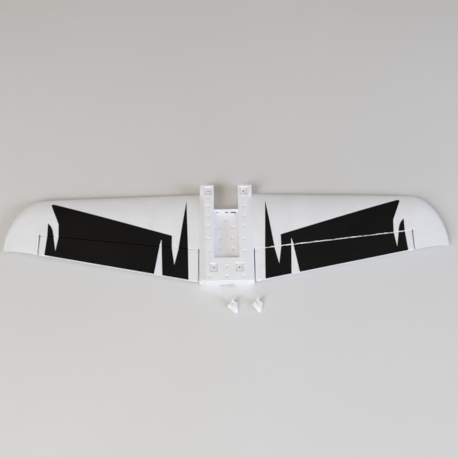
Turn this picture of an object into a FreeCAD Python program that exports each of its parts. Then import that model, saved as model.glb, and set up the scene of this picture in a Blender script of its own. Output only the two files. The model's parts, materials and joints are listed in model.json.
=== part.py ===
import FreeCAD, Part
import math
import os

V = FreeCAD.Vector

# Bare foam wing for a small radio-controlled aeroplane.
# Frame: X across the span, Y forward (towards the leading edge), Z up, millimetres.
# Origin: centre of the flat belly that the wing stands on, below the pod bay.

# ---- centre section -------------------------------------------------------
SEAM_X = 53.5            # half width where the panels are bonded on
BELLY_HALF = 50.0
CHINE_Z = 3.0
DECK_FRONT_Z = 30.0
DECK_REAR_Z = 26.0
PRONG_FRONT_Y = 86.0
REAR_Y = -123.0
REAR_SEAM_Y = -120.6
NOTCH_HALF = 24.2        # bay between the two prongs
NOTCH_BOTTOM_Y = 31.0
TROUGH_HALF = 24.3       # round saddle that the pod lies in
TROUGH_DEPTH = 19.5
TROUGH_FRONT_Y = 26.5
TROUGH_REAR_Y = -74.0
SLOT_Z = 21.4            # slots in the trough's front wall that bare the spar
SLOTS = ((-21.0, -14.2, 1.4), (-1.7, 4.0, 3.0), (9.6, 20.8, 3.5))
REAR_POCKET_HALF = 12.5
REAR_POCKET_HIGH = 6.0
REAR_POCKET_DEEP = 12.0
VENT_X = 35.2            # steam vents of the mould, along both rails
VENT_ROWS = (57.6, 37.6, 15.4, -7.0, -34.0, -60.0)
VENT_R = 2.9
VENT_DEEP = 1.1
PRONG_DECK_HALF = 52.4   # the deck is widest over the prongs
DECK_HALF_FRONT = 43.8   # narrows to this behind them
DECK_HALF_REAR = 40.4
FLARE_Y = (56.0, 72.0)   # and does so over this length

# ---- wing panels ----------------------------------------------------------
PANEL_OUT_X = 372.0      # the straight taper ends here and the rounded tip begins
ROOT_LE_Y = 75.8
ROOT_TE_Y = -121.6
OUT_LE_Y = 61.9
OUT_TE_Y = -60.4
CHORD_LINE_Z = 7.8
DIHEDRAL = math.radians(1.5)
THICKNESS = 0.108        # of the chord
CAMBER = 0.022
CAMBER_AT = 0.40
REFLEX = 0.018           # how far the mean line turns up again by the trailing edge
TE_THICK = 1.6
SECTION_POINTS = 18
TIP_X = 437.9            # half span
TIP_SWEEP = 94.1         # how far the leading edge falls back round the tip
TIP_POWER = 1.22         # 1 makes the tip's outline a quarter ellipse
TIP_TE_RISE = 8.6
TIP_SECTIONS = 10

# ---- elevons and their moulded hinges -------------------------------------
HINGE_ROOT = (53.8, -54.1)
HINGE_OUT = (370.0, -19.5)
HINGE_BELOW_TOP = 0.8    # axis below the upper skin
HINGE_HALF = 1.5         # half width of the thin strip
HINGE_THICK = 0.8
ELEVON_IN_X = 55.5
ELEVON_OUT_X = 367.2
PANEL_CUT_OUT_X = 370.0
BEVEL = math.radians(30.0)
LIP_DEEP = 0.6           # square lip below the strip before the bevel starts

# ---- spar: an upright carbon strip, taller where it keys into the block -----
SPAR_Y = 28.6
SPAR_THICK = 2.4
SPAR_OUTLINE = ((25.0, 24.0), (27.0, 20.9), (240.0, 20.6), (240.0, 13.0), (30.0, 10.8))

# ---- bolt plates ----------------------------------------------------------
PLATE_X = 13.0
PLATE_Y = 15.6
PLATE_T = 1.5
PLATE_GAP = 0.3
PLATE_SUNK = 1.8
BOLT_R = 1.75
BOLTS = (
    ("front_left_bolt_plate", -35.7, 72.4),
    ("front_right_bolt_plate", 35.7, 72.4),
    ("rear_left_bolt_plate", -24.9, -94.2),
    ("rear_right_bolt_plate", 24.9, -94.2),
)

# ---- decals ---------------------------------------------------------------
FILM_GAP = 0.02
FILM_T = 0.12

# ---- control horns --------------------------------------------------------
HORN_LEFT = (10.5, -166.3, 0.0)
HORN_RIGHT = (57.2, -164.4, -11.0)
HORN_OUTLINE = ((-10.8, 0.5), (4.6, -14.2), (10.2, -10.4), (10.4, 8.0), (7.6, 11.0), (-6.2, 9.8))
HORN_TOP = ((-6.0, 3.4), (1.4, -6.2), (6.4, -4.4), (7.0, 4.6), (5.0, 7.2), (-3.4, 7.0))
HORN_SKIRT = 3.0
HORN_BODY = 9.0
HORN_POST = (5.0, 3.6, 21.0)
HORN_POST_Y = 8.0
HORN_HOLE_R = 0.9


# ---- helpers --------------------------------------------------------------
def box(x0, x1, y0, y1, z0, z1):
    return Part.makeBox(x1 - x0, y1 - y0, z1 - z0, V(x0, y0, z0))


def polygon(points):
    return Part.makePolygon(list(points) + [points[0]])


def prism(outline, z0, z1):
    """Upright prism over a plan outline."""
    face = Part.Face(polygon([V(x, y, z0) for x, y in outline]))
    return face.extrude(V(0, 0, z1 - z0))


def mirrored(shape):
    return shape.mirror(V(0, 0, 0), V(1, 0, 0))


def deck_z(y):
    part = (y - REAR_Y) / (PRONG_FRONT_Y - REAR_Y)
    return DECK_REAR_Z + part * (DECK_FRONT_Z - DECK_REAR_Z)


def deck_half(y):
    """Half width of the deck behind the prongs' front ends."""
    t = min(max((y - FLARE_Y[0]) / (FLARE_Y[1] - FLARE_Y[0]), 0.0), 1.0)
    plain = (min(y, FLARE_Y[0]) - REAR_Y) / (FLARE_Y[0] - REAR_Y)
    straight = DECK_HALF_REAR + plain * (DECK_HALF_FRONT - DECK_HALF_REAR)
    return straight + (PRONG_DECK_HALF - straight) * t * t * (3 - 2 * t)


def only_solid(shape):
    """The single solid of a boolean's result."""
    solids = sorted(shape.Solids, key=lambda s: s.Volume)
    return solids[-1]


def save(shape, name):
    shape.exportStep("parts/%s.step" % name)


# ---- aerofoil -------------------------------------------------------------
def half_thickness(c):
    root = 0.2969 * math.sqrt(c)
    rest = -0.1260 * c - 0.3516 * c ** 2 + 0.2843 * c ** 3 - 0.1036 * c ** 4
    return 5.0 * THICKNESS * (root + rest)


def camber(c):
    if c < CAMBER_AT:
        return CAMBER / CAMBER_AT ** 2 * (2 * CAMBER_AT * c - c * c)
    return CAMBER + REFLEX * ((c - CAMBER_AT) / (1 - CAMBER_AT)) ** 2


def section_point(x, le, te, c, side):
    """Point on the section at span x; side +1 is the upper skin, -1 the lower."""
    chord = le - te
    edge = min(TE_THICK, 0.05 * chord)
    z = CHORD_LINE_Z + (x - SEAM_X) * math.tan(DIHEDRAL)
    z += chord * camber(c) + side * (chord * half_thickness(c) + 0.5 * edge * c)
    return V(x, le - c * chord, z)


def tip_stations():
    """Span, leading edge and trailing edge of the sections round the tip."""
    made = []
    for k in range(TIP_SECTIONS + 1):
        angle = 0.5 * math.pi * k / TIP_SECTIONS
        out = math.sin(angle)
        fall = 1.0 - max(math.cos(angle), 0.0) ** TIP_POWER
        made.append((PANEL_OUT_X + out * (TIP_X - PANEL_OUT_X), OUT_LE_Y - TIP_SWEEP * fall,
                     OUT_TE_Y + TIP_TE_RISE * (1 - (1 - out) ** 2)))
    return made


def section_wire(x, le, te):
    n = SECTION_POINTS
    spread = [0.5 * (1 - math.cos(math.pi * i / n)) for i in range(n + 1)]
    upper = [section_point(x, le, te, c, 1) for c in reversed(spread)]
    lower = [section_point(x, le, te, c, -1) for c in spread[1:]]
    curve = Part.BSplineCurve()
    curve.interpolate(upper + lower)
    nose = curve.getKnot(n + 1)
    halves = []
    for start, end in ((curve.FirstParameter, nose), (nose, curve.LastParameter)):
        half = curve.copy()
        half.segment(start, end)
        halves.append(half.toShape())
    closing = Part.makeLine(lower[-1], upper[0])
    return Part.Wire(halves + [closing])


def skin_z(x, y, side=1):
    """Height of the skin on the straight-tapered part of a panel."""
    t = (x - SEAM_X) / (PANEL_OUT_X - SEAM_X)
    le = ROOT_LE_Y + t * (OUT_LE_Y - ROOT_LE_Y)
    te = ROOT_TE_Y + t * (OUT_TE_Y - ROOT_TE_Y)
    c = min(max((le - y) / (le - te), 0.0), 1.0)
    root = section_point(SEAM_X, ROOT_LE_Y, ROOT_TE_Y, c, side).z
    out = section_point(PANEL_OUT_X, OUT_LE_Y, OUT_TE_Y, c, side).z
    return root + t * (out - root)


def hinge_y(x):
    t = (x - HINGE_ROOT[0]) / (HINGE_OUT[0] - HINGE_ROOT[0])
    return HINGE_ROOT[1] + t * (HINGE_OUT[1] - HINGE_ROOT[1])


def trailing_y(x):
    t = (x - SEAM_X) / (PANEL_OUT_X - SEAM_X)
    return ROOT_TE_Y + t * (OUT_TE_Y - ROOT_TE_Y)


def hinge_point(x):
    y = hinge_y(x)
    return V(x, y, skin_z(x, y) - HINGE_BELOW_TOP)


def along_hinge(profile, x0, x1):
    """Prism along the hinge axis; profile is (aft of axis, above axis) in its cross plane."""
    a = hinge_point(HINGE_ROOT[0])
    b = hinge_point(HINGE_OUT[0])
    axis = (b - a).normalize()
    aft = axis.cross(V(0, 0, 1)).normalize()
    up = aft.cross(axis).normalize()
    start = a - axis * 60
    points = [start + aft * p + up * q for p, q in profile]
    long = Part.Face(polygon(points)).extrude(axis * 480)
    return long.common(box(x0, x1, -400, 400, -200, 200))


# ---- one whole wing half, before the elevon is parted off ------------------
def wing_half():
    root = section_wire(SEAM_X, ROOT_LE_Y, ROOT_TE_Y)
    out = section_wire(PANEL_OUT_X, OUT_LE_Y, OUT_TE_Y)
    straight = Part.makeLoft([root, out], True, True)
    tip = Part.makeLoft([section_wire(*s) for s in tip_stations()], True, True)
    return straight, tip


def decal_outlines():
    """Plan outlines of the black films on one half, by name."""
    h = hinge_y
    ahead = HINGE_HALF + 0.5
    behind = -HINGE_HALF - 0.5
    strip = 1.6          # bare strip left along the trailing edge

    def back(x):
        return trailing_y(x) + strip

    wing = {
        "spike_decal": [(79.6, 54.7), (75.6, h(75.6) + ahead), (94.0, h(94.0) + ahead)],
        "blade_decal": [
            (107.5, -23.9), (345.5, 48.9), (350.8, 48.5), (351.5, 45.9), (333.2, 3.4),
            (331.4, h(331.4) + ahead), (131.7, h(131.7) + ahead), (127.9, -31.6),
            (127.5, h(127.5) + ahead), (107.4, h(107.4) + ahead),
        ],
        "leaf_decal": [
            (354.3, 5.9), (344.5, -8.1), (340.8, h(340.8) + ahead), (353.2, h(353.2) + ahead),
        ],
    }
    elevon = {
        "inner_elevon_decal": [
            (75.6, h(75.6) + behind), (94.0, h(94.0) + behind), (102.1, -85.1),
            (107.4, h(107.4) + behind), (127.5, h(127.5) + behind),
            (125.1, back(125.1)), (74.2, back(74.2)),
        ],
        "outer_elevon_decal": [
            (131.7, h(131.7) + behind), (331.4, h(331.4) + behind), (335.0, -53.7),
            (340.8, h(340.8) + behind), (353.2, h(353.2) + behind),
            (356.0, back(356.0)), (141.1, back(141.1)),
        ],
    }
    return wing, elevon


def make_half():
    """Solids of the right half by name."""
    straight, tip = wing_half()
    wall = along_hinge([(-HINGE_HALF, 60), (400, 60), (400, -60), (-HINGE_HALF, -60)],
                       SEAM_X - 5, PANEL_CUT_OUT_X)
    lip = -0.5 * HINGE_THICK - LIP_DEEP
    slant = 60 * math.tan(BEVEL)
    body = along_hinge([(HINGE_HALF, 60), (400, 60), (400, lip - 60),
                        (HINGE_HALF + slant, lip - 60), (HINGE_HALF, lip)],
                       ELEVON_IN_X, ELEVON_OUT_X)
    strip = along_hinge([(-HINGE_HALF, 0.5 * HINGE_THICK), (HINGE_HALF, 0.5 * HINGE_THICK),
                         (HINGE_HALF, -0.5 * HINGE_THICK), (-HINGE_HALF, -0.5 * HINGE_THICK)],
                        ELEVON_IN_X, ELEVON_OUT_X)
    whole = straight.cut(wall).fuse(tip.cut(wall)).removeSplitter()
    panel = only_solid(whole.cut(make_spar()))
    elevon = only_solid(straight.common(body))
    half = {"wing_panel": panel, "elevon": elevon, "elevon_hinge": only_solid(strip)}
    low = straight.copy()
    low.translate(V(0, 0, FILM_GAP))
    high = straight.copy()
    high.translate(V(0, 0, FILM_GAP + FILM_T))
    for group in decal_outlines():
        for name, outline in group.items():
            film = high.common(prism(outline, -50, 90)).cut(low)
            half[name] = only_solid(film)
    return half


# ---- centre section -------------------------------------------------------
def centre_outline(y):
    """Cross-section of the block at y, as a ring of eight corners."""
    if y < REAR_SEAM_Y - 0.1:
        side, deck, seam_z = 41.0, 40.0, 9.0
    elif y > ROOT_LE_Y:
        side, deck, seam_z = SEAM_X, PRONG_DECK_HALF, 13.5
    else:
        side = SEAM_X
        seam_z = skin_z(SEAM_X, y) + 0.4
        deck = deck_half(y)
    belly = min(BELLY_HALF, side - 1.0)
    top = deck_z(y)
    right = [(belly, 0.0), (side, CHINE_Z), (side, seam_z), (deck, top)]
    left = [(-x, z) for x, z in reversed(right)]
    return [V(x, y, z) for x, z in right + left]


def saddle():
    """Round-bottomed cutter for the trough, its axis parallel to the sloping deck."""
    r = (TROUGH_HALF ** 2 + TROUGH_DEPTH ** 2) / (2 * TROUGH_DEPTH)
    rear = V(0, TROUGH_REAR_Y, deck_z(TROUGH_REAR_Y) - TROUGH_DEPTH + r)
    front = V(0, TROUGH_FRONT_Y, deck_z(TROUGH_FRONT_Y) - TROUGH_DEPTH + r)
    run = front - rear
    return Part.makeCylinder(r, run.Length, rear, run)


def vent_spots():
    spots = []
    for y in VENT_ROWS:
        spots.append((-VENT_X, y))
        spots.append((VENT_X, y))
    spots += [(0.0, -92.5), (0.0, -112.5), (-31.5, -112.5), (31.5, -112.5)]
    return spots


def make_centre():
    stations = (PRONG_FRONT_Y, 75.6, 74.6, 72, 68, 64, 60, 56, 45, 30, 10, -10, -35, -60, -90,
                REAR_SEAM_Y, REAR_Y)
    rings = [polygon(centre_outline(y)) for y in stations]
    block = Part.makeLoft(rings, True, True)
    cuts = [
        box(-NOTCH_HALF, NOTCH_HALF, NOTCH_BOTTOM_Y, PRONG_FRONT_Y + 10, -5, 60),
        saddle(),
        box(-REAR_POCKET_HALF, REAR_POCKET_HALF, REAR_Y - 5, REAR_Y + REAR_POCKET_DEEP,
            -5, REAR_POCKET_HIGH),
        make_spar(),
    ]
    spar_back = SPAR_Y - 0.5 * SPAR_THICK
    for x0, x1, high in SLOTS:
        low = SLOT_Z - 0.5 * high
        cuts.append(box(x0, x1, TROUGH_FRONT_Y - 1.0, spar_back, low, low + high))
    for _, x, y in BOLTS:
        floor = deck_z(y) - PLATE_SUNK - PLATE_T
        hx = 0.5 * PLATE_X + PLATE_GAP
        hy = 0.5 * PLATE_Y + PLATE_GAP
        cuts.append(box(x - hx, x + hx, y - hy, y + hy, floor, 60))
        cuts.append(Part.makeCylinder(BOLT_R, 80, V(x, y, -10)))
    for x, y in vent_spots():
        cuts.append(Part.makeCylinder(VENT_R, 20, V(x, y, deck_z(y) - VENT_DEEP)))
    for cutter in cuts:
        block = block.cut(cutter)
    return only_solid(block)


def make_plate(x, y):
    floor = deck_z(y) - PLATE_SUNK - PLATE_T
    plate = box(x - 0.5 * PLATE_X, x + 0.5 * PLATE_X, y - 0.5 * PLATE_Y, y + 0.5 * PLATE_Y,
                floor, floor + PLATE_T)
    upright = [e for e in plate.Edges if abs(e.BoundBox.ZLength - PLATE_T) < 1e-6]
    plate = plate.makeFillet(1.5, upright)
    return plate.cut(Part.makeCylinder(BOLT_R, 80, V(x, y, -10)))


def make_spar():
    left = [(-x, z) for x, z in reversed(SPAR_OUTLINE)]
    front = SPAR_Y - 0.5 * SPAR_THICK
    face = Part.Face(polygon([V(x, front, z) for x, z in list(SPAR_OUTLINE) + left]))
    return face.extrude(V(0, SPAR_THICK, 0))


def make_horn(place):
    """Faceted foot with an upright post that takes the pushrod."""
    x, y, turn = place
    foot = polygon([V(px, py, 0) for px, py in HORN_OUTLINE])
    brim = polygon([V(px, py, HORN_SKIRT) for px, py in HORN_OUTLINE])
    crown = polygon([V(px, py, HORN_BODY) for px, py in HORN_TOP])
    solid = Part.makeLoft([foot, brim, crown], True, True)
    wide, deep, tall = HORN_POST
    post = box(-0.5 * wide, 0.5 * wide, HORN_POST_Y - 0.5 * deep, HORN_POST_Y + 0.5 * deep, 0, tall)
    corners = [e for e in post.Edges
               if e.BoundBox.ZMin > tall - 0.01 and e.BoundBox.YLength > deep - 0.01]
    post = post.makeFillet(0.45 * wide, corners)
    solid = solid.fuse(post).removeSplitter()
    eye = Part.makeCylinder(HORN_HOLE_R, 20, V(0, HORN_POST_Y - 10, tall - 3.4), V(0, 1, 0))
    socket = Part.makeCylinder(1.4, 10, V(-1.4, HORN_POST_Y - 4.6, HORN_BODY - 4.0))
    solid = solid.cut(eye).cut(socket)
    solid.rotate(V(0, 0, 0), V(0, 0, 1), turn)
    solid.translate(V(x, y, 0))
    return only_solid(solid)


def main():
    os.makedirs("parts", exist_ok=True)
    save(make_centre(), "centre_section")
    for name, shape in make_half().items():
        save(shape, "right_" + name)
        save(mirrored(shape), "left_" + name)
    save(make_spar(), "main_spar")
    for name, x, y in BOLTS:
        save(make_plate(x, y), name)
    save(make_horn(HORN_LEFT), "left_control_horn")
    save(make_horn(HORN_RIGHT), "right_control_horn")


main()
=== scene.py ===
import json
import math
import random

import bmesh
import bpy
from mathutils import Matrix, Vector


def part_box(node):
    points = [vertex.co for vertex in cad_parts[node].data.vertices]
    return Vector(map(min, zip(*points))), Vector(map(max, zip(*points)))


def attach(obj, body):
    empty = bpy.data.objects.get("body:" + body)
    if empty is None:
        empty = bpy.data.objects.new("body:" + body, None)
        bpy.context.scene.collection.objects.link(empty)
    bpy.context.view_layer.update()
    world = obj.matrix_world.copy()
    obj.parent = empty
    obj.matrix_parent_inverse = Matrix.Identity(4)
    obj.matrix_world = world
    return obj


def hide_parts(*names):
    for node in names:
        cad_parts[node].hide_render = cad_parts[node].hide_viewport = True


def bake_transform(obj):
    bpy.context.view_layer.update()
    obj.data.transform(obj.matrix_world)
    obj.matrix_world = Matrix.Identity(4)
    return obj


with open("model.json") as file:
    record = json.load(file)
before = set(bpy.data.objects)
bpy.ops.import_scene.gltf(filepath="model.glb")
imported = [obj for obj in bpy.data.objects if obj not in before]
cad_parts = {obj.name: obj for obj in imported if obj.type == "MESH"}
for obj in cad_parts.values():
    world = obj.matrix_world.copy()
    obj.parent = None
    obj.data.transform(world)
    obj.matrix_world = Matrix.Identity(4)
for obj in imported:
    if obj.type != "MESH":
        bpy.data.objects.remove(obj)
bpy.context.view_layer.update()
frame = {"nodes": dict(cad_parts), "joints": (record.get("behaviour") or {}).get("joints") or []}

# Lengths in this script are millimetres, turned into metres where a mesh is made.
MM = 0.001
SEED = 11

# ---- the wing's sizes, from the frame where it states them ------------------
WING, LEFT, RIGHT = "wing", "left", "right"
SIDES = {LEFT: -1.0, RIGHT: 1.0}


def node_mm(node):
    low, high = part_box(node)
    return low / MM, high / MM


panel_low, panel_high = node_mm("right_wing_panel")
elevon_low, elevon_high = node_mm("right_elevon")
block_low, block_high = node_mm("centre_section")
hinge = next(j for j in frame["joints"] if j["name"] == "right_elevon_hinge")
hinge_at = Vector(hinge["pos_m"]) / MM
hinge_dir = Vector(hinge["axis"])
if hinge_dir.x < 0:
    hinge_dir = -hinge_dir

SEAM_X = panel_low.x
TIP_X = panel_high.x
ELEVON_IN_X = elevon_low.x
ELEVON_OUT_X = elevon_high.x
PANEL_CUT_OUT_X = ELEVON_OUT_X + 2.8
PANEL_OUT_X = 372.0
ROOT_LE_Y, ROOT_TE_Y = 75.8, -121.6
OUT_LE_Y, OUT_TE_Y = 61.9, -60.4
TIP_SWEEP, TIP_POWER, TIP_TE_RISE = 94.1, 1.22, 8.6
CHORD_LINE_Z = 7.8
DIHEDRAL = math.radians(1.5)
THICKNESS, CAMBER, CAMBER_AT, REFLEX, TE_THICK = 0.108, 0.022, 0.40, 0.018, 1.6
HINGE_HALF = 1.5
BEVEL = math.radians(30.0)
LIP_BELOW_AXIS = 1.0

PRONG_FRONT_Y, REAR_Y = block_high.y, block_low.y
REAR_SEAM_Y = -120.6
DECK_FRONT_Z = block_high.z
DECK_REAR_Z = 26.0
BELLY_HALF, CHINE_Z = 50.0, 3.0
REAR_SIDE, REAR_DECK_HALF, REAR_SEAM_Z = 41.0, 40.0, 9.0
PRONG_SEAM_Z = 13.5
SEAM_REACH = 1.6        # how far the block's edge runs out over the panel
SEAM_PROUD = 0.3        # and how far it stands above the panel's skin
NOTCH_HALF, NOTCH_BOTTOM_Y = 24.2, 31.0
TROUGH_HALF, TROUGH_DEPTH = 24.3, 19.5
TROUGH_FRONT_Y, TROUGH_REAR_Y = 26.5, -74.0
PRONG_DECK_HALF, DECK_HALF_FRONT, DECK_HALF_REAR = 52.4, 43.8, 40.4
FLARE_Y = (56.0, 72.0)
# Slots in the trough's front wall that bare the spar, as (x, x, z, z).
SLOTS = ((-21.0, -14.2, 20.2, 23.6), (-1.9, 4.0, 18.2, 23.7), (9.6, 20.8, 17.6, 23.8))
REAR_POCKET = (12.5, 12.0, 6.0)    # half width, depth, height
CUT_LOW, CUT_HIGH = -9.0, 60.0     # a cut right through the block runs from here to here
SEAT_GAP, SEAT_CUT = 0.3, 6.0
SEAT_FLARE = 0.5        # the recess widens this much per millimetre above its plate
BOLT_R = 1.75
VENT_X = 35.2
VENT_ROWS = (57.6, 37.6, 15.4, -7.0, -34.0, -60.0)
REAR_VENTS = ((0.0, -92.5), (0.0, -112.5), (-31.5, -112.5), (31.5, -112.5))
TROUGH_VENTS = ((0.6, 16.2), (-13.0, -2.2), (13.0, -1.6), (-13.4, -26.0), (13.0, -25.2),
                (-13.2, -47.2), (13.8, -48.0))
VENT_R, VENT_DEEP, TROUGH_VENT_DEEP = 4.3, 1.1, 2.4
VENT_REACH = 4.0        # a dish moves only points this close to its surface
VENT_SIDE = 0.8         # share of the dish's radius that slopes
BLOCK_VOXEL, HORN_VOXEL = 0.7, 0.28
PLATES = ("front_left", "front_right", "rear_left", "rear_right")

# How finely the wing's surfaces are cut: along the span, round the tip, along the chord.
SPAN_STEPS, TIP_STEPS = 34, 26
CHORD_STEPS_AHEAD, CHORD_STEPS_BEHIND, ELEVON_CHORD_STEPS = 30, 14, 18

FILM_LIFT, FILM_ROOT = 0.14, -0.05
FILM_STEP_X, FILM_STEP_Y = 9.0, 4.0
TAIL_BARE = 1.6         # bare foam between the films and the trailing edge


# ---- aerofoil ---------------------------------------------------------------
def half_thickness(c):
    rest = -0.1260 * c - 0.3516 * c ** 2 + 0.2843 * c ** 3 - 0.1036 * c ** 4
    return 5.0 * THICKNESS * (0.2969 * math.sqrt(max(c, 0.0)) + rest)


def camber(c):
    if c < CAMBER_AT:
        return CAMBER / CAMBER_AT ** 2 * (2 * CAMBER_AT * c - c * c)
    return CAMBER + REFLEX * ((c - CAMBER_AT) / (1 - CAMBER_AT)) ** 2


def edges_at(x):
    """Leading and trailing edge at span x, tip included."""
    if x <= PANEL_OUT_X:
        t = (x - SEAM_X) / (PANEL_OUT_X - SEAM_X)
        return (ROOT_LE_Y + t * (OUT_LE_Y - ROOT_LE_Y), ROOT_TE_Y + t * (OUT_TE_Y - ROOT_TE_Y))
    s = min((x - PANEL_OUT_X) / (TIP_X - PANEL_OUT_X), 1.0)
    fall = 1.0 - math.sqrt(1.0 - s * s) ** TIP_POWER
    return OUT_LE_Y - TIP_SWEEP * fall, OUT_TE_Y + TIP_TE_RISE * (1 - (1 - s) ** 2)


def section_point(x, c, side):
    le, te = edges_at(x)
    chord = le - te
    edge = min(TE_THICK, 0.05 * chord)
    z = CHORD_LINE_Z + (x - SEAM_X) * math.tan(DIHEDRAL)
    z += chord * camber(c) + side * (chord * half_thickness(c) + 0.5 * edge * c)
    return Vector((x, le - c * chord, z))


def chord_share(x, y):
    le, te = edges_at(x)
    return min(max((le - y) / (le - te), 0.0), 1.0)


def skin_z(x, y, side=1):
    return section_point(x, chord_share(x, y), side).z


def hinge_y(x):
    return hinge_at.y + (x - hinge_at.x) * hinge_dir.y / hinge_dir.x


def hinge_z(x):
    return hinge_at.z + (x - hinge_at.x) * hinge_dir.z / hinge_dir.x


def aft_of_hinge(x, v):
    """Y of the point v millimetres behind the hinge axis at span x."""
    return hinge_y(x) - v / hinge_dir.x


def deck_z(y):
    part = (y - REAR_Y) / (PRONG_FRONT_Y - REAR_Y)
    return DECK_REAR_Z + part * (DECK_FRONT_Z - DECK_REAR_Z)


def lerp(a, b, t):
    return a + (b - a) * t


def smooth(t):
    t = min(max(t, 0.0), 1.0)
    return t * t * (3 - 2 * t)


def deck_half(y):
    """Half width of the deck, which flares out over the prongs."""
    back = (min(y, FLARE_Y[0]) - REAR_Y) / (FLARE_Y[0] - REAR_Y)
    plain = lerp(DECK_HALF_REAR, DECK_HALF_FRONT, back)
    return lerp(plain, PRONG_DECK_HALF, smooth((y - FLARE_Y[0]) / (FLARE_Y[1] - FLARE_Y[0])))


def spread(a, b, n):
    return [lerp(a, b, i / n) for i in range(n + 1)]


# ---- mesh making --------------------------------------------------------------
class Shell:
    """Collects points and faces in millimetres, with some edges marked to be rounded."""

    def __init__(self):
        self.points, self.faces, self.marked = [], [], []

    def add(self, p):
        self.points.append(Vector(p))
        return len(self.points) - 1

    def row(self, points):
        return [self.add(p) for p in points]

    def face(self, *ring):
        ring = [v for i, v in enumerate(ring) if v != ring[i - 1]]
        if len(set(ring)) > 2:
            self.faces.append(ring)

    def band(self, a, b, closed=False):
        """Quads between two rows of equal length."""
        for i in range(len(a) if closed else len(a) - 1):
            j = (i + 1) % len(a)
            self.face(a[i], a[j], b[j], b[i])

    def mark(self, row, closed=False):
        for i in range(len(row) if closed else len(row) - 1):
            self.marked.append((row[i], row[(i + 1) % len(row)]))

    def make(self, name, rounding=0.0, segments=2, side=1.0, sharp=50.0):
        bm = bmesh.new()
        made = [bm.verts.new((p.x * side * MM, p.y * MM, p.z * MM)) for p in self.points]
        for ring in self.faces:
            bm.faces.new([made[i] for i in ring])
        if rounding:
            edges = [bm.edges.get((made[a], made[b])) for a, b in self.marked]
            bmesh.ops.bevel(bm, geom=[e for e in set(edges) if e], offset=rounding * MM,
                            segments=segments, profile=0.5, affect="EDGES", clamp_overlap=True)
        return finish_mesh(bm, name, sharp)


def finish_mesh(bm, name, sharp=50.0):
    bmesh.ops.remove_doubles(bm, verts=bm.verts, dist=1e-7)
    bmesh.ops.recalc_face_normals(bm, faces=bm.faces)
    for f in bm.faces:
        f.smooth = True
    mesh = bpy.data.meshes.new(name)
    bm.to_mesh(mesh)
    bm.free()
    mesh.set_sharp_from_angle(angle=math.radians(sharp))
    ob = bpy.data.objects.new(name, mesh)
    bpy.context.collection.objects.link(ob)
    return ob


def apply_modifiers(ob):
    bpy.context.view_layer.update()
    dg = bpy.context.evaluated_depsgraph_get()
    mesh = bpy.data.meshes.new_from_object(ob.evaluated_get(dg))
    ob.modifiers.clear()
    ob.data = mesh
    return ob


def dress(ob, material):
    ob.data.materials.clear()
    ob.data.materials.append(material)
    return ob


# ---- materials ------------------------------------------------------------------
class Nodes:
    """A new node material with its shader, and short ways to add nodes to it."""

    def __init__(self, name):
        self.material = bpy.data.materials.new(name)
        self.material.use_nodes = True
        self.tree = self.material.node_tree
        self.shader = self.tree.nodes["Principled BSDF"]
        self.place = self.tree.nodes.new("ShaderNodeTexCoord").outputs["Object"]

    def node(self, kind, **settings):
        made = self.tree.nodes.new(kind)
        for key, value in settings.items():
            if hasattr(made, key):
                setattr(made, key, value)
            else:
                made.inputs[key].default_value = value
        return made

    def link(self, a, b):
        self.tree.links.new(a, b)

    def noise(self, scale, detail=3.0, roughness=0.5):
        n = self.node("ShaderNodeTexNoise", Scale=scale, Detail=detail, Roughness=roughness)
        self.link(self.place, n.inputs["Vector"])
        return n.outputs["Fac"]

    def cells(self, scale, feature="F1", smoothness=0.4):
        n = self.node("ShaderNodeTexVoronoi", feature=feature, Scale=scale)
        if feature == "SMOOTH_F1":
            n.inputs["Smoothness"].default_value = smoothness
        self.link(self.place, n.inputs["Vector"])
        return n.outputs["Distance"]

    def ramp(self, value, stops):
        n = self.node("ShaderNodeValToRGB")
        elements = n.color_ramp.elements
        while len(elements) < len(stops):
            elements.new(0.5)
        for element, (at, colour) in zip(elements, stops):
            element.position = at
            element.color = (*colour, 1.0) if len(colour) == 3 else colour
        self.link(value, n.inputs["Fac"])
        return n.outputs["Color"]

    def grey(self, value, low, high, at=(0.3, 0.7)):
        n = self.node("ShaderNodeMapRange")
        for key, number in zip(("From Min", "From Max", "To Min", "To Max"), (*at, low, high)):
            n.inputs[key].default_value = number
        self.link(value, n.inputs["Value"])
        return n.outputs["Result"]

    def bump(self, height, strength, distance, under=None):
        n = self.node("ShaderNodeBump", Strength=strength, Distance=distance)
        self.link(height, n.inputs["Height"])
        if under:
            self.link(under, n.inputs["Normal"])
        return n.outputs["Normal"]

    def set(self, **values):
        for key, value in values.items():
            self.shader.inputs[key.replace("_", " ")].default_value = value

    def feed(self, **outputs):
        for key, output in outputs.items():
            self.link(output, self.shader.inputs[key.replace("_", " ")])
        return self.material


BEADS_PER_M = 300.0      # expanded beads near 3 mm across


def foam(name, light, dark):
    """Moulded bead foam: soft pebbled skin with fine seams between the beads."""
    m = Nodes(name)
    colour = m.ramp(m.noise(22.0, 4.0, 0.6), [(0.35, dark), (0.62, light)])
    beads = m.cells(BEADS_PER_M, "SMOOTH_F1", 0.55)
    seams = m.cells(BEADS_PER_M, "DISTANCE_TO_EDGE")
    skin = m.bump(beads, 0.22, 0.0006)
    skin = m.bump(m.grey(seams, 0.0, 1.0, (0.0, 0.06)), 0.18, 0.0003, skin)
    skin = m.bump(m.noise(1500.0, 2.0), 0.10, 0.0002, skin)
    m.set(Specular_IOR_Level=0.32)
    return m.feed(Base_Color=colour, Normal=skin,
                  Roughness=m.grey(m.noise(60.0), 0.62, 0.80))


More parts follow.
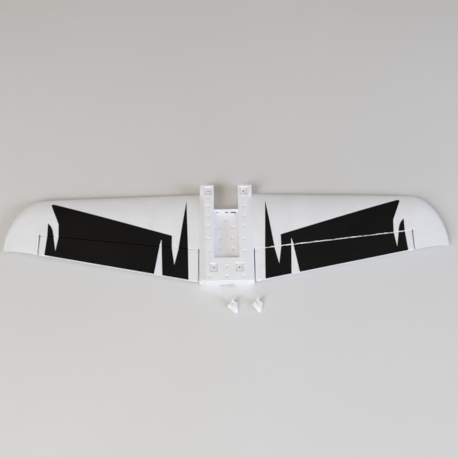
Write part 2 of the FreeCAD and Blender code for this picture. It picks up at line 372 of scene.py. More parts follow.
def black_film(name):
    """Satin printed film with the foam's beads showing through it and light scuffs."""
    m = Nodes(name)
    wear = m.noise(9.0, 6.0, 0.7)
    colour = m.ramp(wear, [(0.30, (0.0035, 0.0035, 0.0037)), (0.72, (0.0065, 0.0063, 0.0063))])
    skin = m.bump(m.cells(BEADS_PER_M, "SMOOTH_F1", 0.7), 0.16, 0.0004)
    skin = m.bump(m.noise(900.0, 3.0), 0.08, 0.0002, skin)
    m.set(Specular_IOR_Level=0.12)
    return m.feed(Base_Color=colour, Normal=skin,
                  Roughness=m.grey(m.noise(35.0, 5.0), 0.44, 0.60))


def painted_fold_shade_film(name):
    """Darker, duller copy of the film that paints the shade in the fold's dark line, broken up finely.
    """
    m = Nodes(name)
    fold_shade_mottle = m.noise(260.0, 4.0, 0.7)
    colour = m.ramp(fold_shade_mottle, [(0.35, (0.0018, 0.0018, 0.002)), (0.7, (0.004, 0.004, 0.004))])
    m.set(Specular_IOR_Level=0.02)
    return m.feed(Base_Color=colour, Normal=m.bump(m.noise(1400.0, 3.0), 0.3, 0.0002),
                  Roughness=m.grey(m.noise(90.0), 0.75, 0.95))


def carbon(name):
    m = Nodes(name)
    weave = m.node("ShaderNodeTexWave", wave_type="BANDS", bands_direction="DIAGONAL",
                   Scale=420.0, Distortion=1.5, Detail=1.0)
    m.link(m.place, weave.inputs["Vector"])
    fac = weave.outputs["Fac"]
    m.set(Specular_IOR_Level=0.5)
    colour = m.ramp(fac, [(0.2, (0.008, 0.008, 0.009)), (0.8, (0.035, 0.035, 0.038))])
    return m.feed(Base_Color=colour, Normal=m.bump(fac, 0.25, 0.0002),
                  Roughness=m.grey(fac, 0.30, 0.45, (0.0, 1.0)))


def plastic(name, light, dark, rough):
    """Moulded white plastic with a fine spark-eroded grain."""
    m = Nodes(name)
    colour = m.ramp(m.noise(120.0, 3.0), [(0.35, dark), (0.65, light)])
    skin = m.bump(m.noise(1800.0, 2.0), 0.12, 0.00015)
    m.set(Specular_IOR_Level=0.45)
    return m.feed(Base_Color=colour, Normal=skin,
                  Roughness=m.grey(m.noise(200.0), rough - 0.06, rough + 0.08))


def floor_material(name):
    m = Nodes(name)
    mottle = m.noise(2.2, 3.0, 0.5)
    colour = m.ramp(mottle, [(0.3, (0.655, 0.652, 0.648)), (0.7, (0.680, 0.679, 0.676))])
    m.set(Specular_IOR_Level=0.15)
    return m.feed(Base_Color=colour, Normal=m.bump(m.noise(700.0, 4.0), 0.10, 0.0003),
                  Roughness=m.grey(m.noise(40.0), 0.80, 0.92))


FOAM = foam("bead_foam", (0.782, 0.789, 0.814), (0.742, 0.751, 0.776))
# The centre block's foam is a lighter copy of the panels' foam: painted light that brightens its deck.
CENTRE_FOAM_PAINTED_LIGHT = foam("centre_foam_painted_light", (0.796, 0.803, 0.828), (0.768, 0.777, 0.802))
HINGE_FOAM = foam("hinge_foam", (0.81, 0.815, 0.835), (0.73, 0.735, 0.755))
FILM = black_film("black_film")
# Darker, duller copy of the film, laid along the left fold as painted shade.
FOLD_SHADE_FILM = painted_fold_shade_film("painted_fold_shade_film")
CARBON = carbon("carbon_fibre")
PLATE = plastic("plate_plastic", (0.80, 0.80, 0.81), (0.74, 0.74, 0.75), 0.42)
HORN = plastic("horn_plastic", (0.80, 0.80, 0.805), (0.75, 0.75, 0.76), 0.36)


# ---- camera, light, floor ---------------------------------------------------------
CAMERA_ELEVATION, CAMERA_AZIMUTH = math.radians(64.0), math.radians(-0.9)
CAMERA_AIM = Vector((0.0056, 0.0, 0.0))
CAMERA_AWAY = 1.45       # metres from the aim
CAMERA_LENS, CAMERA_SENSOR = 56.42, 36.0


def make_camera():
    elevation, azimuth = CAMERA_ELEVATION, CAMERA_AZIMUTH
    back = Vector((math.sin(azimuth) * math.cos(elevation),
                   -math.cos(azimuth) * math.cos(elevation), math.sin(elevation)))
    data = bpy.data.cameras.new("camera")
    data.sensor_width, data.lens = CAMERA_SENSOR, CAMERA_LENS
    data.clip_end = 20.0
    cam = bpy.data.objects.new("camera", data)
    cam.location = CAMERA_AIM + back * CAMERA_AWAY
    cam.rotation_mode = "QUATERNION"
    cam.rotation_quaternion = back.to_track_quat("Z", "Y")
    bpy.context.collection.objects.link(cam)
    bpy.context.scene.camera = cam


def area_light(name, place, size, power, colour, beam):
    """Round lamp at a place, turned to the origin."""
    data = bpy.data.lights.new(name, "AREA")
    data.shape, data.size, data.energy, data.color = "DISK", size, power, colour
    data.spread = math.radians(beam)
    ob = bpy.data.objects.new(name, data)
    ob.location = place
    ob.rotation_mode = "QUATERNION"
    ob.rotation_quaternion = place.to_track_quat("Z", "Y")
    bpy.context.collection.objects.link(ob)


# Soft lights round the floor: azimuth from behind the wing towards its right, elevation,
# width in metres, power in watts, colour, and beam in degrees.
LIGHT_AWAY = 3.0
WORLD_COLOUR, WORLD_STRENGTH = (1.0, 0.87, 0.69, 1.0), 0.278
LIGHTS = (
    ("left_lamp", -45, 50, 1.2, 28.5, (0.97, 0.99, 1.0), 180.0),
    ("left_low", -45, 32, 1.2, 19.5, (0.81, 0.89, 1.0), 180.0),
    ("right_window", 70, 32, 1.2, 35.0, (0.66, 0.80, 1.0), 180.0),
    ("right_low", 70, 15, 1.2, 16.5, (0.58, 0.71, 1.0), 180.0),
    ("ceiling", 0, 72, 1.2, 10.2, (1.0, 0.76, 0.52), 180.0),
    ("near_window", 0, 8, 0.7, 1.7, (0.88, 0.94, 1.0), 50.0),
)


def make_stage():
    bm = bmesh.new()
    bmesh.ops.create_grid(bm, x_segments=8, y_segments=8, size=4.0)
    bmesh.ops.translate(bm, vec=(0, 0, -0.0002), verts=bm.verts)
    floor = finish_mesh(bm, "floor")
    floor.data.materials.append(floor_material("pale_floor"))
    world = bpy.data.worlds.new("soft_world")
    world.use_nodes = True
    world.node_tree.nodes["Background"].inputs["Color"].default_value = WORLD_COLOUR
    world.node_tree.nodes["Background"].inputs["Strength"].default_value = WORLD_STRENGTH
    bpy.context.scene.world = world
    bpy.context.scene.view_settings.view_transform = "Standard"
    for name, azimuth, elevation, size, power, colour, beam in LIGHTS:
        a, e = math.radians(azimuth), math.radians(elevation)
        place = Vector((math.sin(a) * math.cos(e), -math.cos(a) * math.cos(e), math.sin(e)))
        area_light(name, place * LIGHT_AWAY, size, power, colour, beam)


# ---- wing panels --------------------------------------------------------------------
def panel_shell():
    """Panel with its straight rear wall at the hinge and the rounded tip outboard of it."""
    fore, aft = CHORD_STEPS_AHEAD, CHORD_STEPS_BEHIND
    inner = spread(SEAM_X, PANEL_CUT_OUT_X, SPAN_STEPS)
    angles = spread(0.0, math.pi / 2, TIP_STEPS)[1:]
    outer = [lerp(PANEL_CUT_OUT_X, TIP_X, math.sin(a)) for a in angles]
    shell = Shell()
    top, bottom, top_aft, bottom_aft = [], [], [], []
    last_share = chord_share(PANEL_CUT_OUT_X, aft_of_hinge(PANEL_CUT_OUT_X, -HINGE_HALF))
    for x in inner + outer:
        share = last_share
        if x <= PANEL_CUT_OUT_X:
            share = chord_share(x, aft_of_hinge(x, -HINGE_HALF))
        marks = [share * (1 - math.cos(0.5 * math.pi * k / fore)) for k in range(fore + 1)]
        up = shell.row([section_point(x, c, 1) for c in marks])
        low = [up[0]] + shell.row([section_point(x, c, -1) for c in marks[1:]])
        top.append(up)
        bottom.append(low)
        if x >= PANEL_CUT_OUT_X:
            behind = [lerp(share, 1.0, k / aft) for k in range(1, aft + 1)]
            top_aft.append([up[-1]] + shell.row([section_point(x, c, 1) for c in behind]))
            bottom_aft.append([low[-1]] + shell.row([section_point(x, c, -1) for c in behind]))
    for i in range(len(top) - 1):
        shell.band(top[i], top[i + 1])
        shell.band(bottom[i + 1], bottom[i])
    for i in range(len(top_aft) - 1):
        shell.band(top_aft[i], top_aft[i + 1])
        shell.band(bottom_aft[i + 1], bottom_aft[i])
        shell.face(top_aft[i][-1], top_aft[i + 1][-1], bottom_aft[i + 1][-1], bottom_aft[i][-1])
    first_tip = len(inner) - 1
    for i in range(first_tip):
        shell.face(top[i][-1], top[i + 1][-1], bottom[i + 1][-1], bottom[i][-1])
    shell.band(top_aft[0], bottom_aft[0])
    shell.band(top[0], bottom[0])
    shell.band(top[-1], bottom[-1])
    shell.band(top_aft[-1], bottom_aft[-1])
    shell.mark([r[-1] for r in bottom[:first_tip + 1]])
    shell.mark(top_aft[0])
    shell.mark(bottom_aft[0])
    for rows in (top_aft, bottom_aft):
        shell.mark([r[-1] for r in rows])
    shell.mark(top[-1] + top_aft[-1][1:])
    shell.mark(bottom[-1] + bottom_aft[-1][1:])
    return shell


# ---- elevons --------------------------------------------------------------------------
FOOT_ROUNDS = 12        # rounds that settle where the bevel meets the lower skin


def elevon_ring(x):
    """Closed outline of the elevon at span x, from its front top edge round the trailing edge."""
    n = ELEVON_CHORD_STEPS
    front_y = aft_of_hinge(x, HINGE_HALF)
    start = chord_share(x, front_y)
    lip = Vector((x, front_y, hinge_z(x) - LIP_BELOW_AXIS))
    top = [section_point(x, lerp(start, 1.0, k / n), 1) for k in range(n + 1)]
    foot_y = front_y
    for _ in range(FOOT_ROUNDS):
        foot_y = front_y - (lip.z - skin_z(x, foot_y, -1)) * math.tan(BEVEL)
    foot = chord_share(x, foot_y)
    low = [section_point(x, lerp(1.0, foot, k / n), -1) for k in range(n + 1)]
    face = [low[-1].lerp(lip, k / 3) for k in (1, 2)]
    return top + low + face + [lip]


def elevon_shell():
    shell = Shell()
    rings = []
    for x in spread(ELEVON_IN_X, ELEVON_OUT_X, SPAN_STEPS):
        rings.append(shell.row(elevon_ring(x)))
    for a, b in zip(rings, rings[1:]):
        shell.band(a, b, closed=True)
    for ring in (rings[0], rings[-1]):
        shell.faces.append(list(ring))
        shell.mark(ring, closed=True)
    n = ELEVON_CHORD_STEPS
    for corner in (n, n + 1, 2 * n + 1):
        shell.mark([r[corner] for r in rings])
    return shell


# ---- moulded hinges ---------------------------------------------------------------------
# Groove across the hinge, as (aft of the axis, above the skin): steep ahead, gentle behind.
FOLD = ((-1.5, 0.0), (-1.22, -0.02), (-1.0, -0.40), (-0.84, -1.15), (-0.60, -1.60),
        (-0.2, -1.45), (0.3, -1.0), (0.8, -0.5), (1.2, -0.12), (1.5, 0.0))
STRIP_UNDER = -2.3      # underside of the strip, from the skin
TORN_LIMIT = 1.35       # torn edges stay this near the fold
CURL_LIMIT = 1.2        # and curl up only within this
HINGE_STEPS = 150
# Stretches of the fold under the spike, the blade's inner tooth, the blade and the leaf.
SPIKE_FOLD, TOOTH_FOLD = (75.6, 94.0), (107.4, 127.5)
BLADE_FOLD, LEAF_FOLD = (131.7, 331.4), (340.8, 353.6)
FILM_SPANS = (SPIKE_FOLD, TOOTH_FOLD, BLADE_FOLD, LEAF_FOLD)


class Wander:
    """Smooth random line through evenly spaced knots, between two limits."""

    def __init__(self, rng, spacing, low, high):
        self.knots = [rng.uniform(low, high) for _ in range(int(TIP_X / spacing) + 3)]
        self.spacing = spacing

    def __call__(self, x):
        k = int(x / self.spacing)
        return lerp(self.knots[k], self.knots[k + 1], smooth(x / self.spacing - k))


class Groove:
    """The one surface that the foam strip and the films over it share."""

    def __init__(self, rng, worn):
        self.profile = FOLD
        self.gain = Wander(rng, 5.0, 0.92, 1.10)
        if worn:
            self.profile = tuple((-v, z) for v, z in reversed(FOLD))
            self.gain = Wander(rng, 5.0, 0.55, 0.80)
        self.sway = Wander(rng, 7.0, -0.14, 0.14)

    def depth(self, v):
        for (v0, z0), (v1, z1) in zip(self.profile, self.profile[1:]):
            if v0 <= v <= v1:
                return lerp(z0, z1, (v - v0) / (v1 - v0))
        return 0.0

    def point(self, x, v, lift=0.0):
        y = aft_of_hinge(x, v + self.sway(x) * (1.0 - (abs(v) / HINGE_HALF) ** 4))
        return Vector((x, y, skin_z(x, y) + self.depth(v) * self.gain(x) + lift))


def hinge_stations():
    return spread(ELEVON_IN_X, ELEVON_OUT_X, HINGE_STEPS)


def hinge_shell(groove):
    """Thin strip with a soft-lipped groove on top, slightly uneven along its length."""
    shell = Shell()
    rings = []
    for x in hinge_stations():
        ring = [groove.point(x, v) for v, _ in groove.profile]
        for v in (HINGE_HALF, 0.5, -0.5, -HINGE_HALF):
            y = aft_of_hinge(x, v)
            ring.append(Vector((x, y, skin_z(x, y) + STRIP_UNDER)))
        rings.append(shell.row(ring))
    for a, b in zip(rings, rings[1:]):
        shell.band(a, b, closed=True)
    shell.faces.append(list(rings[0]))
    shell.faces.append(list(rings[-1]))
    return shell


def film_strip(shell, groove, stations, low_v, high_v, curl=None, lift=FILM_LIFT):
    """Film lying in the groove between two edges that may wander along it."""
    tops, lows = [], []
    for x in stations:
        low, high = low_v(x), high_v(x)
        marks = [min(max(v, low), high) for v, _ in groove.profile]
        rise = [curl(x) if curl and abs(v) < CURL_LIMIT and v in (low, high) else 0.0 for v in marks]
        tops.append(shell.row([groove.point(x, v, lift + r) for v, r in zip(marks, rise)]))
        lows.append(shell.row([groove.point(x, v, FILM_ROOT + r) for v, r in zip(marks, rise)]))
    for i in range(len(tops) - 1):
        shell.band(tops[i], tops[i + 1])
        shell.band(lows[i + 1], lows[i])
        for edge in (0, -1):
            shell.face(tops[i][edge], tops[i + 1][edge], lows[i + 1][edge], lows[i][edge])
    shell.band(tops[0], lows[0])
    shell.band(tops[-1], lows[-1])


def whole_film(groove):
    shell = Shell()
    for x0, x1 in FILM_SPANS:
        inside = [x for x in hinge_stations() if x0 + 0.3 < x < x1 - 0.3]
        film_strip(shell, groove, [x0] + inside + [x1], lambda x: -HINGE_HALF, lambda x: HINGE_HALF)
    return shell


def painted_fold_shade_line(groove, rng):
    """Dark strip laid over the whole film along the fold, as painted shade in the fold."""
    shell = Shell()
    ahead = Wander(rng, 12.0, -0.95, -0.75)
    behind = Wander(rng, 9.0, 0.15, 0.75)
    for x0, x1 in FILM_SPANS:
        stations = spread(x0 + 0.2, x1 - 0.2, int((x1 - x0) / 2.0))
        film_strip(shell, groove, stations, ahead, behind, lift=FILM_LIFT + 0.03)
    return shell


def cracked_film(groove, rng):
    """The same film split along the fold into two torn edges, nearly touching in places."""
    shell = Shell()
    course = Wander(rng, 6.0, -0.50, 0.50)
    width = Wander(rng, 5.0, 0.65, 1.25)
    teeth = Wander(rng, 2.4, -0.42, 0.26)
    other_teeth = Wander(rng, 2.1, -0.42, 0.26)
    curl = Wander(rng, 3.0, 0.0, 0.30)
    for x0, x1 in FILM_SPANS:
        stations = spread(x0, x1, int((x1 - x0) / 0.9))
        film_strip(shell, groove, stations, lambda x: -HINGE_HALF,
                   lambda x: max(course(x) - width(x) - teeth(x), -TORN_LIMIT), curl)
        film_strip(shell, groove, stations,
                   lambda x: min(course(x) + width(x) + other_teeth(x), TORN_LIMIT),
                   lambda x: HINGE_HALF, curl)
    return shell


# ---- black decals -------------------------------------------------------------------------
def front(x):
    return x, aft_of_hinge(x, -HINGE_HALF)


def rear(x):
    return x, aft_of_hinge(x, HINGE_HALF)


def tail(x):
    return x, edges_at(x)[1] + TAIL_BARE


def decal_outlines():
    """Right-hand plan outlines of the films on the wing and on the elevon."""
    spike_in, spike_out = SPIKE_FOLD
    tooth_in, tooth_out = TOOTH_FOLD
    blade_in, blade_out = BLADE_FOLD
    leaf_in, leaf_out = LEAF_FOLD
    wing = {
        "spike_decal": [(79.6, 54.7), front(spike_in), front(spike_out)],
        "blade_decal": [(107.5, -23.9), (345.5, 48.9), (349.9, 49.3), (351.5, 46.5), (333.2, 3.4),
                        front(blade_out), front(blade_in), (127.9, -31.6),
                        front(tooth_out), front(tooth_in)],
        "leaf_decal": [(354.3, 5.9), (350.8, 2.5), (347.0, -2.5), (343.9, -9.0),
                       front(leaf_in), front(leaf_out)],
    }
    elevon = {
        "inner_elevon_decal": [rear(spike_in), rear(spike_out), (102.1, -85.1), rear(tooth_in),
                               rear(tooth_out), tail(125.1), tail(74.2)],
        "outer_elevon_decal": [rear(blade_in), rear(blade_out), (335.0, -53.7), rear(leaf_in),
                               rear(leaf_out), tail(356.0), tail(141.1)],
    }
    return wing, elevon


def film_object(name, outline, side):
    """Film over a plan outline, cut into small faces so that it follows the skin."""
    bm = bmesh.new()
    bm.faces.new([bm.verts.new((x, y, 0.0)) for x, y in outline])
    bmesh.ops.triangulate(bm, faces=bm.faces[:])
    xs = [x for x, y in outline]
    ys = [y for x, y in outline]
    for low, high, step, normal in ((min(xs), max(xs), FILM_STEP_X, (1, 0, 0)),
                                    (min(ys), max(ys), FILM_STEP_Y, (0, 1, 0))):
        at = math.ceil(low / step) * step
        while at < high:
            bmesh.ops.bisect_plane(bm, geom=bm.verts[:] + bm.edges[:] + bm.faces[:], dist=1e-5,
                                   plane_co=Vector(normal) * at, plane_no=normal)
            at += step
    for f in bm.faces:
        f.normal_update()
        if f.normal.z < 0:
            f.normal_flip()
    borders = [e for e in bm.edges if e.is_boundary]
    tops = {v: skin_z(v.co.x, v.co.y) for v in bm.verts}
    twins = {v: bm.verts.new((v.co.x, v.co.y, tops[v] + FILM_ROOT)) for v in list(bm.verts)}
    for f in list(bm.faces):
        bm.faces.new([twins[v] for v in reversed(f.verts)])
    for e in borders:
        a, b = e.verts
        bm.faces.new([a, b, twins[b], twins[a]])
    for v, z in tops.items():
        v.co.z = z + FILM_LIFT
    for v in bm.verts:
        v.co = Vector((v.co.x * side, v.co.y, v.co.z)) * MM
    return finish_mesh(bm, name, 40.0)


# ---- centre section --------------------------------------------------------------------------
def block_ring(y):
    """Cross-section of the centre block at y, running under the wing's skin at the panels."""
    reach = 0.0
    if y < REAR_SEAM_Y - 0.05:
        t = (REAR_SEAM_Y - y) / (REAR_SEAM_Y - REAR_Y)
        side, deck = lerp(SEAM_X, REAR_SIDE, t), lerp(DECK_HALF_REAR, REAR_DECK_HALF, t)
        seam = REAR_SEAM_Z
    elif y > ROOT_LE_Y:
        side, deck, seam = SEAM_X, PRONG_DECK_HALF, PRONG_SEAM_Z
    else:
        side, seam, deck = SEAM_X, skin_z(SEAM_X, y) + SEAM_PROUD, deck_half(y)
        ahead_of_hinge = smooth((y - hinge_y(SEAM_X) - 3.0) / 3.0)
        reach = SEAM_REACH * ahead_of_hinge * smooth((60.0 - y) / 6.0)
    top = deck_z(y)
    slope = (top - seam) / (side - deck)
    belly = min(BELLY_HALF, side - 1.0)
    right = [(belly, 0.0), (side, CHINE_Z), (side, max(seam - 3.0 - reach * slope, CHINE_Z + 1.0)),
             (side + reach, seam - reach * slope - 0.4 * (reach > 0)),
             (lerp(side, deck, 0.5), lerp(seam, top, 0.5) - 0.35), (deck, top)]
    return [(x, y, z) for x, z in right] + [(-x, y, z) for x, z in reversed(right)]


def box_shell(x0, x1, y0, y1, z0, z1):
    shell = Shell()
    low = shell.row([(x0, y0, z0), (x1, y0, z0), (x1, y1, z0), (x0, y1, z0)])
    high = shell.row([(x0, y0, z1), (x1, y0, z1), (x1, y1, z1), (x0, y1, z1)])
    shell.band(low, high, closed=True)
    shell.faces += [low, high]
    return shell


def tube_shell(radius, rear, front, n=96):
    """Closed round bar from rear to front, both given as centres."""
    shell = Shell()
    axis = (Vector(front) - Vector(rear)).normalized()
    across = axis.orthogonal().normalized()
    up = axis.cross(across)
    rows = []
    for centre in (Vector(rear), Vector(front)):
        angles = [2 * math.pi * k / n for k in range(n)]
        rows.append(shell.row([centre + (across * math.cos(a) + up * math.sin(a)) * radius
                               for a in angles]))
    shell.band(rows[0], rows[1], closed=True)
    shell.faces += [rows[0], rows[1]]
    return shell


def combine(ob, steps):
    """Joins pieces to an object or cuts them out of it, in order, and removes them."""
    for operation, other in steps:
        m = ob.modifiers.new("combine", "BOOLEAN")
        m.operation, m.solver, m.object = operation, "EXACT", other
    apply_modifiers(ob)
    for operation, other in steps:
        bpy.data.objects.remove(other)


def carve(ob, shells):
    """Cuts closed shells out of an object."""
    combine(ob, [("DIFFERENCE", s.make("cut_%d" % k)) for k, s in enumerate(shells)])


def ease_edges(ob, voxel, rounds):
    """Remeshes a solid in fine voxels and smooths it, so that its edges look moulded."""
    m = ob.modifiers.new("voxels", "REMESH")
    m.mode, m.voxel_size = "VOXEL", voxel * MM
    m = ob.modifiers.new("ease", "SMOOTH")
    m.factor, m.iterations = 0.5, rounds
    apply_modifiers(ob)


def shade_smooth(ob):
    for p in ob.data.polygons:
        p.use_smooth = True


def seat_shell(low, high):
    """Recess of a bolt plate, whose sides lean outwards above the plate."""
    shell = Shell()
    rows = []
    for z, grow in ((low.z, SEAT_GAP), (high.z, SEAT_GAP),
                    (high.z + SEAT_CUT, SEAT_GAP + SEAT_CUT * SEAT_FLARE)):
        rows.append(shell.row([(low.x - grow, low.y - grow, z), (high.x + grow, low.y - grow, z),
                               (high.x + grow, high.y + grow, z), (low.x - grow, high.y + grow, z)]))
    for a, b in zip(rows, rows[1:]):
        shell.band(a, b, closed=True)
    shell.faces += [rows[0], rows[-1]]
    return shell


def saddle_radius():
    return (TROUGH_HALF ** 2 + TROUGH_DEPTH ** 2) / (2 * TROUGH_DEPTH)


def trough_z(x, y):
    r = saddle_radius()
    return deck_z(y) - TROUGH_DEPTH + r - math.sqrt(r * r - x * x)


def vent_places():
    """Steam vents of the mould, as (x, y, height of the surface there, depth)."""
    flat = [(x, y) for y in VENT_ROWS for x in (-VENT_X, VENT_X)] + list(REAR_VENTS)
    return ([(x, y, deck_z(y), VENT_DEEP) for x, y in flat]
            + [(x, y, trough_z(x, y), TROUGH_VENT_DEEP) for x, y in TROUGH_VENTS])


def centre_object():
    shell = Shell()
    stations = [PRONG_FRONT_Y, ROOT_LE_Y + 4.2, ROOT_LE_Y - 0.4, ROOT_LE_Y - 1.2]
    stations += list(range(72, -118, -2)) + [REAR_SEAM_Y, REAR_SEAM_Y - 0.1, REAR_Y]
    rings = [shell.row(block_ring(y)) for y in stations]
    for a, b in zip(rings, rings[1:]):
        shell.band(a, b, closed=True)
    shell.faces += [list(rings[0]), list(rings[-1])]
    block = shell.make("centre_block")
    r = saddle_radius()
    high = r - TROUGH_DEPTH
    wide, deep, tall = REAR_POCKET
    parts = [
        box_shell(-NOTCH_HALF, NOTCH_HALF, NOTCH_BOTTOM_Y, PRONG_FRONT_Y + 20, CUT_LOW, CUT_HIGH),
        tube_shell(r, (0, TROUGH_REAR_Y, deck_z(TROUGH_REAR_Y) + high),
                   (0, TROUGH_FRONT_Y, deck_z(TROUGH_FRONT_Y) + high)),
        box_shell(-wide, wide, REAR_Y - 9, REAR_Y + deep, CUT_LOW, tall),
    ]
    spar_back = node_mm("main_spar")[0].y
    slots = [box_shell(x0, x1, TROUGH_FRONT_Y - 3.0, spar_back + 1.2, z0, z1)
             for x0, x1, z0, z1 in SLOTS]
    for plate in PLATES:
        low, high = node_mm(plate + "_bolt_plate")
        parts.append(seat_shell(low, high))
        x, y = 0.5 * (low.x + high.x), 0.5 * (low.y + high.y)
        parts.append(tube_shell(BOLT_R, (x, y, CUT_LOW), (x, y, CUT_HIGH), 24))
    carve(block, parts)
    ease_edges(block, BLOCK_VOXEL, 3)
    press_vents(block)
    carve(block, slots)
    shade_smooth(block)
    block.data.set_sharp_from_angle(angle=math.radians(60.0))
    return block


def press_vents(block):
    """Sinks a round dish with soft sides at each vent."""
    vents = vent_places()
    for v in block.data.vertices:
        x, y, z = v.co / MM
        for vx, vy, vz, deep in vents:
            if abs(x - vx) < VENT_R and abs(y - vy) < VENT_R and abs(z - vz) < VENT_REACH:
                far = math.hypot(x - vx, y - vy) / VENT_R
                v.co.z -= deep * MM * smooth((1.0 - far) / VENT_SIDE)
                break


# ---- bolt plates -------------------------------------------------------------------------------
def rounded_square(x, y, half_x, half_y, power, z, n=64):
    ring = []
    for k in range(n):
        a = 2 * math.pi * (k + 0.5) / n
        c, s = math.cos(a), math.sin(a)
        ring.append((x + half_x * math.copysign(abs(c) ** (2 / power), c),
                     y + half_y * math.copysign(abs(s) ** (2 / power), s), z))
    return ring


def plate_object(plate):
    """Square plate with a raised rim, a sunk web and a collar round its screw hole."""
    node_low, node_high = node_mm(plate + "_bolt_plate")
    x, y = 0.5 * (node_low.x + node_high.x), 0.5 * (node_low.y + node_high.y)
    hx, hy = 0.5 * (node_high.x - node_low.x), 0.5 * (node_high.y - node_low.y)
    low, high = node_low.z, node_high.z
    steps = [(hx, hy, 9, low), (hx, hy, 9, high - 0.25), (hx - 0.25, hy - 0.25, 9, high),
             (hx - 1.1, hy - 1.1, 9, high), (hx - 1.4, hy - 1.4, 9, high - 0.6),
             (4.3, 4.3, 2, high - 0.6), (3.9, 3.9, 2, high), (2.6, 2.6, 2, high),
             (BOLT_R, BOLT_R, 2, high - 0.5), (BOLT_R, BOLT_R, 2, low)]
    shell = Shell()
    rows = [shell.row(rounded_square(x, y, a, b, power, z)) for a, b, power, z in steps]
    for a, b in zip(rows, rows[1:]):
        shell.band(a, b, closed=True)
    shell.band(rows[-1], rows[0], closed=True)
    return shell.make(plate + "_plate", sharp=35.0)


# ---- control horns --------------------------------------------------------------------------------
HORN_OUTLINE = ((-10.8, 0.5), (4.6, -14.2), (10.2, -10.4), (10.4, 8.0), (7.6, 11.0), (-6.2, 9.8))
HORN_TOP = ((-6.0, 3.4), (1.4, -6.2), (6.4, -4.4), (7.0, 4.6), (5.0, 7.2), (-3.4, 7.0))
HORN_SKIRT, HORN_BODY = 3.0, 9.0
HORN_POST = (5.0, 3.6, 21.0)
HORN_POST_Y = 8.0
HORN_EYE_R, HORN_EYE_DOWN = 0.95, 3.4
HORN_SOCKET_R, HORN_SOCKET_X, HORN_SOCKET_AHEAD = 1.6, -1.4, 4.6
HORN_PLACES = {LEFT: (10.5, -166.3, 0.0), RIGHT: (57.2, -164.4, -11.0)}


def horn_body(name):
    """Low skirt with a pyramid on it."""
    shell = Shell()
    rows = [shell.row([(px, py, z) for px, py in outline])
            for outline, z in ((HORN_OUTLINE, 0.0), (HORN_OUTLINE, HORN_SKIRT),
                               (HORN_TOP, HORN_BODY))]
    for a, b in zip(rows, rows[1:]):
        shell.band(a, b, closed=True)
        shell.marked += list(zip(a, b))
    shell.faces += [list(rows[0]), list(rows[-1])]
    shell.mark(rows[1], closed=True)
    shell.mark(rows[2], closed=True)
    return shell.make(name, 0.9, 3, sharp=60.0)


def horn_post(name):
    """Upright post whose top is rounded off."""
    wide, deep, tall = HORN_POST
    shell = Shell()
    rings = []
    for z, share in ((4.0, 1.0), (12.0, 1.0), (tall - 2.2, 1.0), (tall - 0.9, 0.86),
                     (tall - 0.2, 0.55), (tall, 0.2)):
        half_x, half_y = 0.5 * wide * share, 0.5 * deep * min(1.0, share + 0.1)
        rings.append(shell.row(rounded_square(0, HORN_POST_Y, half_x, half_y, 5, z, 32)))
    for a, b in zip(rings, rings[1:]):
        shell.band(a, b, closed=True)
    shell.faces += [list(rings[0]), list(rings[-1])]
    return shell.make(name)


def horn_object(side):
    body = horn_body("%s_horn_body" % side)
    eye_z = HORN_POST[2] - HORN_EYE_DOWN
    eye = tube_shell(HORN_EYE_R, (0, HORN_POST_Y - 10, eye_z), (0, HORN_POST_Y + 10, eye_z), 28)
    x, y = HORN_SOCKET_X, HORN_POST_Y - HORN_SOCKET_AHEAD
    socket = tube_shell(HORN_SOCKET_R, (x, y, HORN_BODY - 4.0), (x, y, HORN_BODY + 6.0), 28)
    combine(body, [("UNION", horn_post("%s_horn_post" % side)), ("DIFFERENCE", eye.make("eye")),
                   ("DIFFERENCE", socket.make("socket"))])
    ease_edges(body, HORN_VOXEL, 4)
    x, y, turn = HORN_PLACES[side]
    c, s = math.cos(math.radians(turn)), math.sin(math.radians(turn))
    for v in body.data.vertices:
        px, py = v.co.x, v.co.y
        v.co.x, v.co.y = px * c - py * s + x * MM, px * s + py * c + y * MM
    shade_smooth(body)
    body.name = "%s_horn_moulding" % side
    return body


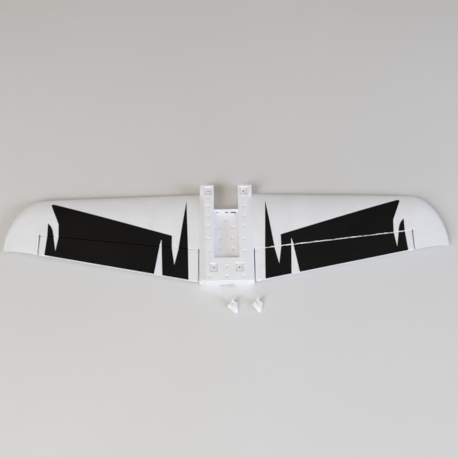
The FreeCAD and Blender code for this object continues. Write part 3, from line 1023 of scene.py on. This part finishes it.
# ---- putting it together ------------------------------------------------------------------------------
def place(ob, body, node, material, slot):
    dress(ob, material)
    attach(ob, body)
    if node:
        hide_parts(node)
    return ob


def bend_with_hinge(ob):
    """Bakes a piece's placement into its mesh."""
    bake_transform(ob)


def build_side(side):
    k = SIDES[side]
    elevon_body = side + "_elevon"
    panel = panel_shell().make(side + "_foam_panel", 0.7, 3, k)
    place(panel, WING, side + "_wing_panel", FOAM, "white_foam")
    elevon = elevon_shell().make(side + "_foam_elevon", 0.55, 3, k)
    place(elevon, elevon_body, side + "_elevon", FOAM, "white_foam")
    rng = random.Random(SEED + (1 if side == RIGHT else 0))
    groove = Groove(rng, side == RIGHT)
    strip = hinge_shell(groove).make(side + "_hinge_strip", side=k, sharp=80.0)
    dress(strip, HINGE_FOAM)
    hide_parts(side + "_elevon_hinge")
    bend_with_hinge(strip)
    film = cracked_film(groove, rng) if side == RIGHT else whole_film(groove)
    film = film.make(side + "_hinge_film", side=k, sharp=80.0)
    dress(film, FILM)
    bend_with_hinge(film)
    # On the left the fold's dark line is painted shade: a darker film strip laid over the whole film.
    if side == LEFT:
        fold_shade_strip = painted_fold_shade_line(groove, rng).make(side + "_hinge_painted_shade", side=k, sharp=80.0)
        dress(fold_shade_strip, FOLD_SHADE_FILM)
        bend_with_hinge(fold_shade_strip)
    wing, moving = decal_outlines()
    for outlines, body in ((wing, WING), (moving, elevon_body)):
        for name, outline in outlines.items():
            ob = film_object("%s_%s_film" % (side, name), outline, k)
            place(ob, body, "%s_%s" % (side, name), FILM, "black_film")
    horn = horn_object(side)
    place(horn, side + "_horn", side + "_control_horn", HORN, "horn_plastic")


def main():
    make_camera()
    make_stage()
    # The centre block wears the lighter foam copy, painted light on its deck.
    place(centre_object(), WING, "centre_section", CENTRE_FOAM_PAINTED_LIGHT, "white_foam")
    for plate in PLATES:
        place(plate_object(plate), WING, plate + "_bolt_plate", PLATE, "plate_plastic")
    spar = frame["nodes"]["main_spar"]
    spar.data.materials.clear()
    spar.data.materials.append(CARBON)
    for side in SIDES:
        build_side(side)


main()
